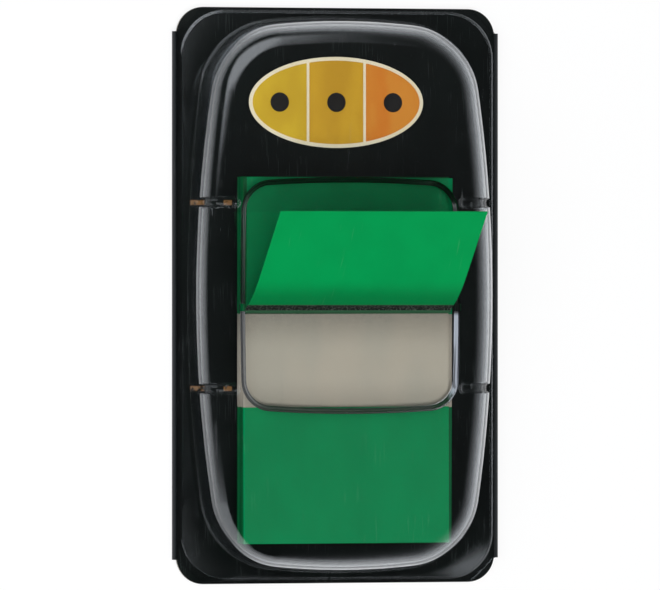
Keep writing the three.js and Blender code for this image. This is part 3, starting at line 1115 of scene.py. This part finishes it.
@dataclass
class TabPile(Tabs):
    """The many lower tabs, as one pile of thin sheets."""

    sheets: int = 44
    fullness: float = 0.96
    lean: float = 0.52
    stagger: float = 0.075
    turn: float = 0.002
    seed: int = 7

    def _leaf(self, sheet: Sheet, centre: Vector, size: Vector, turn: float, end: End) -> None:
        """Adds one tab to a pile.

        Args:
            sheet: the pile.
            centre: the middle of the tab.
            size: its width, length and thickness.
            turn: its turn about Z, in radians.
            end: its printed end.
        """
        place = Matrix.Translation(centre) @ Matrix.Rotation(turn, 4, "Z")
        place = place @ Matrix.Diagonal((*size, 1.0))
        new = bmesh.ops.create_cube(sheet.bm, size=1.0, matrix=place)["verts"]
        joint = size.y / 2 - self.print_length
        for side in (-1, 1):
            faces = list({f for v in new for f in v.link_faces})
            edges = list({e for f in faces for e in f.edges})
            cut = bmesh.ops.bisect_plane(
                sheet.bm, geom=[*faces, *edges, *new], dist=ON_PLANE,
                plane_co=centre + Vector((0, side * joint, 0)), plane_no=(0, 1, 0),
            )["geom_cut"]
            new += of_kind(bmesh.types.BMVert, cut)
        for face in {f for v in new for f in v.link_faces}:
            along = face.calc_center_median().y - centre.y
            edge = Edge.PRINTED if along * end.value > 0 else Edge.CLEAR
            face.material_index = (Edge.BARE if abs(along) < joint else edge).value

    def build(self, *finishes: bpy.types.Material) -> None:
        """Makes the pile of lower tabs as one piece, in the finishes of its edges."""
        low, high = self.span("tab_stack")
        middle_y = sum(corner.y for corner in self.span("third_tab")) / 2
        rise = (high.z - low.z) / self.sheets
        size = Vector((self.width, self.length, rise * self.fullness))
        draw = random.Random(self.seed)
        sheet = Sheet()
        for i in range(self.sheets):
            height = i + 0.5
            x = self.lean * (1 - height / self.sheets) + draw.uniform(-self.stagger, self.stagger)
            y = middle_y + draw.uniform(-self.stagger, self.stagger)
            end = End.BOTTOM if i % 2 else End.TOP
            turn = draw.uniform(-self.turn, self.turn)
            self._leaf(sheet, Vector((x, y, low.z + rise * height)), size, turn, end)
        piece = sheet.piece("pile_of_tabs")
        self.dress(piece, finishes, "tab_stack")
        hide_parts("tab_stack")


class Coat(Enum):
    """What a stretch of a tab is: print, bare film on bare film or over print, or its rim in a dark green
    of painted shade.
    """

    PRINTED = 0
    FILM = 1
    SHEER = 2
    RIM = 3


@dataclass(frozen=True)
class Stretch:
    """A stretch of a tab, with its slope at its start and end."""

    length: float
    coat: Coat
    first: float = 0.0
    last: float = 0.0
    steps: int = 4


@dataclass
class UpperTabs(Tabs):
    """The three highest tabs: two flat ones, and one that comes up through the slot in a curl."""

    film: float = 0.1
    bend_radius: float = 0.8
    exit_angle: float = math.radians(62)
    curl_radius: float = 12.0
    end_angle: float = math.radians(38)
    drift: float = 1.25
    second_shift: float = -0.2
    second_turn: float = math.radians(0.15)
    third_shift: float = 0.3
    third_turn: float = math.radians(-0.2)

    def _strip(
            self, name: str, node: str, stretches: Sequence[Stretch], thick: bool, place: Matrix,
            from_end: float = 0.0) -> bpy.types.Object:
        """Makes a strip of film, upwards in Y from where a packed tab lies.

        Args:
            name: the piece's name.
            node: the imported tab.
            stretches: its stretches in order.
            thick: whether it has the film's thickness, or is one surface.
            place: its shift aside and its turn.
            from_end: how far from the tab's lower end it starts.

        Returns:
            The strip.
        """
        low, _ = self.span(node)
        start = Vector((0, low.y + from_end, low.z + self.film))
        sheet = Sheet()
        left, right = (sheet.bm.verts.new(start + Vector((s * self.width / 2, 0, 0))) for s in (-1, 1))
        edges = [sheet.bm.edges.new((left, right))]
        for part in stretches:
            step = part.length / part.steps
            aside = self.drift / self.print_length if part.last else 0.0
            known = set(sheet.bm.faces)
            for i in range(part.steps):
                angle = part.first + (part.last - part.first) * (i + 0.5) / part.steps
                edges = sheet.drawn(edges, Vector((aside, math.cos(angle), math.sin(angle))) * step)
            sheet.mark(known, part.coat)
        sheet.tidy()
        strip = sheet.piece(name, self.film if thick else 0.0)
        strip.data.transform(place)
        return strip

    def build(
            self, flat_coats: Sequence[bpy.types.Material],
            lifted_coats: Sequence[bpy.types.Material]) -> None:
        """Makes the three tabs.

        Args:
            flat_coats: the finishes of the flat tabs, in the order of Coat.
            lifted_coats: the finishes of the lifted tab.
        """
        bare = self.length - self.print_length
        middle = bare - self.print_length
        third, second = (
            Matrix.Translation((shift * MM, 0, 0)) @ Matrix.Rotation(turn, 4, "Z")
            for shift, turn in ((self.third_shift, self.third_turn), (self.second_shift, self.second_turn))
        )
        bend = self.bend_radius * self.exit_angle
        curl = self.curl_radius * (self.exit_angle - self.end_angle)
        pieces = [
            (self._strip("third_tab_film", "third_tab", [
                Stretch(self.print_length, Coat.RIM), Stretch(middle, Coat.FILM),
                Stretch(self.print_length, Coat.PRINTED),
            ], True, third), "green_print", ("third_tab", "third_tab_colour")),
            (self._strip("second_tab_film", "second_tab", [
                Stretch(self.print_length, Coat.PRINTED), Stretch(middle, Coat.FILM),
            ], True, second), "green_print", ("second_tab_colour",)),
            (self._strip("second_tab_clear_end", "second_tab", [
                Stretch(self.print_length, Coat.SHEER),
            ], False, second, bare), "clear_film", ("second_tab",)),
            (self._strip("top_tab_clear_end", "top_tab", [
                Stretch(bare, Coat.SHEER),
            ], False, Matrix()), "clear_film", ("top_tab",)),
            (self._strip("lifted_tab", "top_tab", [
                Stretch(bend, Coat.PRINTED, 0.0, self.exit_angle, 12),
                Stretch(curl, Coat.PRINTED, self.exit_angle, self.end_angle, 24),
                Stretch(self.print_length - bend - curl, Coat.PRINTED, self.end_angle, self.end_angle, 16),
            ], True, Matrix(), bare), "green_print", ("top_tab_colour",)),
        ]
        for piece, slot, nodes in pieces:
            self.dress(piece, lifted_coats if piece.name == "lifted_tab" else flat_coats, slot)
            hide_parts(*nodes)


@dataclass
class Badge(Part):
    """The plain oval badge that is printed on the card."""

    frame: dict[str, Any]
    inks: dict[str, Mottled] = field(default_factory=lambda: {
        "ground": Mottled("cream_ink", (0.84, 0.75, 0.56), (0.78, 0.68, 0.47)),
        "left_field": Mottled("yellow_ink", (0.64, 0.42, 0.028), (0.56, 0.35, 0.024)),
        "middle_field": Mottled("amber_ink", (0.6, 0.34, 0.024), (0.52, 0.28, 0.02)),
        "right_field": Mottled("orange_ink", (0.64, 0.19, 0.02), (0.66, 0.25, 0.032)),
        "dot": Mottled("dark_ink", (0.008, 0.008, 0.008), (0.013, 0.012, 0.012)),
    })

    def build(self) -> None:
        """Gives each field of the badge its ink."""
        made = {key: ink.material() for key, ink in self.inks.items()}
        for name, obj in self.frame["nodes"].items():
            if name.startswith("badge_"):
                key = "dot" if name.endswith("_dot") else name.removeprefix("badge_")
                obj.data.materials.clear()
                obj.data.materials.append(made[key])
                LOG.info("%s: %s", name, made[key].name)


@dataclass
class SoftBox:
    """A large soft lamp, placed by its azimuth and elevation round the dispenser."""

    name: str
    azimuth: float
    elevation: float
    distance: float
    size: Point
    power: float
    colour: Colour = (1.0, 1.0, 1.0)

    def build(self) -> None:
        """Makes the lamp, facing the dispenser."""
        lamp = bpy.data.lights.new(self.name, "AREA")
        lamp.shape = "RECTANGLE"
        lamp.size, lamp.size_y = self.size
        lamp.energy = self.power
        lamp.color = self.colour
        obj = placed(self.name, lamp)
        turn, rise = math.radians(self.azimuth), math.radians(self.elevation)
        away = Vector((math.sin(turn) * math.cos(rise), math.cos(turn) * math.cos(rise), math.sin(rise)))
        obj.location = away * self.distance
        obj.rotation_euler = away.to_track_quat("Z", "Y").to_euler()
        obj.visible_glossy = False


def radians(first: float, second: float) -> Range:
    """Two angles in radians, from degrees."""
    return math.radians(first), math.radians(second)


@dataclass(frozen=True)
class Room:
    """The studio as the gloss sees it: dark above, with panels behind, at a corner and at the right."""

    dark: float = 0.006
    horizon: Range = (0.3, 0.0)
    horizon_level: float = 1.4
    left_x: Range = (-0.3, -0.8)
    left_y: Range = (0.4, 0.1)
    left_dimming: float = 0.45
    corner_lean: Range = radians(-38, -46)
    corner_start: Range = (-0.1, -0.28)
    corner_end: Range = (-0.97, -0.85)
    corner_level: float = 1.2
    behind_start: Range = radians(4, 14)
    behind_end: Range = radians(62, 48)
    behind_right: Range = (0.34, 0.12)
    behind_left: Range = radians(-52, -40)
    behind_level: float = 1.9
    right_start: Range = radians(14, 92)
    right_end: Range = radians(140, 92)
    right_level: float = 1.5

    def level(self, graph: Graph) -> Value:
        """How bright the room is in the direction of a ray."""
        x, y, z = graph.add("ShaderNodeSeparateXYZ", None, {0: graph.add("ShaderNodeTexCoord")[0]})
        lean, back = x.angle(z), y.angle(z)
        left = x.ramp(*self.left_x) * abs(y).ramp(*self.left_y)
        horizon = z.ramp(*self.horizon) * (1.0 - left * self.left_dimming) * self.horizon_level
        corner = lean.ramp(*self.corner_lean) * y.ramp(*self.corner_start) * y.ramp(*self.corner_end)
        behind = back.ramp(*self.behind_start) * back.ramp(*self.behind_end)
        behind = behind * x.ramp(*self.behind_right) * lean.ramp(*self.behind_left)
        right = lean.ramp(*self.right_start) * lean.ramp(*self.right_end)
        lit = horizon.most(corner * self.corner_level).most(right * self.right_level)
        return lit + behind * self.behind_level + self.dark


@dataclass
class Studio:
    """The pale floor, the soft lamps and the camera."""

    floor_size: float = 6.0
    floor_drop: float = 0.00005
    floor_shade: float = 0.82
    white_share: float = 0.86
    view_turn: float = math.radians(17)
    view_distance: float = 1.2
    pixels_per_mm: float = 8.43
    image_width: float = 660.0
    image_height: float = 590.0
    card_pixel: Point = (335.5, 295.5)
    sensor: float = 36.0
    clip: Range = (0.05, 20.0)
    dim_sky: float = 0.12
    sky: Colour = (0.96, 0.98, 1.0)
    lamps: list[SoftBox] = field(default_factory=lambda: [
        SoftBox("left_box", -90.0, 40.0, 0.9, (1.3, 0.6), 7.0, (0.94, 0.97, 1.0)),
        SoftBox("high_box", 180.0, 68.0, 1.3, (0.9, 0.45), 11.5),
        SoftBox("top_box", 0.0, 84.0, 1.3, (1.2, 1.2), 3.5),
    ])

    def _floor(self) -> None:
        """Makes the floor: white to the eye, with the dispenser's own soft shadow."""
        bm = bmesh.new()
        bmesh.ops.create_grid(bm, x_segments=1, y_segments=1, size=self.floor_size / 2)
        bmesh.ops.translate(bm, vec=(0, 0, -self.floor_drop), verts=bm.verts)
        mesh = bpy.data.meshes.new("floor")
        bm.to_mesh(mesh)
        bm.free()
        floor = placed("floor", mesh)
        material, graph = new_material("pale_floor")
        seen = self._seen(graph)
        plain = graph.add("ShaderNodeBsdfDiffuse", None, {"Color": (self.floor_shade,) * 3})[0]
        white = graph.add("ShaderNodeEmission", None, {"Color": (1.0, 1.0, 1.0), "Strength": 1.0})[0]
        graph.surface(graph.blend(seen * self.white_share, plain, white))
        mesh.materials.append(material)

    @staticmethod
    def _seen(graph: Graph) -> Value:
        """1 for a ray of the camera, a gloss or a clear body, and 0 for a ray of diffuse light."""
        path = graph.add("ShaderNodeLightPath")
        return (path[0] + path[3] + path[6]).least(1.0)

    def _world(self) -> None:
        """Makes the surroundings: white to the eye, the room to the gloss, and dim to diffuse light."""
        world = bpy.data.worlds.new("studio")
        bpy.context.scene.world = world
        world.use_nodes = True
        graph = Graph(world.node_tree)
        path = graph.add("ShaderNodeLightPath")
        eye, gloss = path[0], path[3]
        level = eye + (1.0 - eye) * (gloss * Room().level(graph) + (1.0 - gloss) * self.dim_sky)
        sky = graph.add("ShaderNodeBackground", None, {"Color": self.sky, "Strength": level})[0]
        graph.add("ShaderNodeOutputWorld", None, {"Surface": sky})

    def _camera(self) -> None:
        """Makes the camera at the photograph's viewing angle."""
        data = bpy.data.cameras.new("camera")
        camera = placed("camera", data)
        back = Vector((-math.sin(self.view_turn), 0, math.cos(self.view_turn)))
        right = Vector((math.cos(self.view_turn), 0, math.sin(self.view_turn)))
        up = Vector((0, 1, 0))
        low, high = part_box("backing_card")
        aside = (self.image_width / 2 - self.card_pixel[0]) / self.pixels_per_mm * MM
        above = (self.card_pixel[1] - self.image_height / 2) / self.pixels_per_mm * MM
        target = (low + high) / 2 + right * aside + up * above
        camera.location = target + back * self.view_distance
        camera.rotation_euler = Matrix((right, up, back)).transposed().to_euler()
        data.sensor_width = self.sensor
        data.lens = self.sensor * self.view_distance / (self.image_width / self.pixels_per_mm * MM)
        data.clip_start, data.clip_end = self.clip
        bpy.context.scene.camera = camera

    def build(self) -> None:
        """Makes the whole studio."""
        self._floor()
        self._world()
        self._camera()
        for lamp in self.lamps:
            lamp.build()
        bpy.context.scene.view_settings.view_transform = "Standard"


def main() -> None:
    """Builds the dispenser around its frame, with its studio."""
    logging.basicConfig(level=logging.INFO, format="%(name)s: %(message)s")
    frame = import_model()
    Studio().build()
    printed = FilmPrint("green_print", (0.0, 0.255, 0.086), (0.0, 0.225, 0.076)).material()
    # The lifted tab's print carries painted shade at its bend in the slot
    lifted = FilmPrint(
        "lifted_print", (0.0, 0.255, 0.062), (0.0, 0.235, 0.057), mottle=0.2, painted_crease_shade=PaintedCreaseShade(),
    ).material()
    # Darker copies of the green print, for the pile's side edges and the tabs' rims: painted shade
    edges = FilmPrint("green_edges_painted_shade", (0.002, 0.16, 0.045), (0.002, 0.13, 0.036)).material()
    between = FilmPrint("clear_edges_painted_shade", (0.004, 0.1, 0.035), (0.004, 0.085, 0.03)).material()
    film = MattFilm("matt_film").material()
    sheer = MattFilm("sheer_film", cover=0.03).material()
    plastics = [
        ClearSheet(),
        # The window wall carries a painted highlight in streaks on its right side
        ClearSheet(
            "window_wall", reflection=0.09, grazing=0.2, edge=(0.01, 0.15), edge_shade=0.97,
            dark=(0.003, 0.003, 0.003), painted_highlight_x=(12.0, 12.8),
        ),
        ClearSheet(
            "folded_edge", reflection=0.02, grazing=0.02, edge=(0.0, 0.05), edge_shade=0.98, sheen=0.02,
        ),
        ClearSheet("dome_foot", reflection=0.02, grazing=0.25),
    ]
    ClearCover().build(*[plastic.material() for plastic in plastics])
    BackingCard().build(VarnishedCard().material())
    TabPile().build(edges, between, film)
    UpperTabs().build([printed, film, sheer, between], [lifted, film, sheer, between])
    Badge(frame).build()


if __name__ == "__main__":
    main()
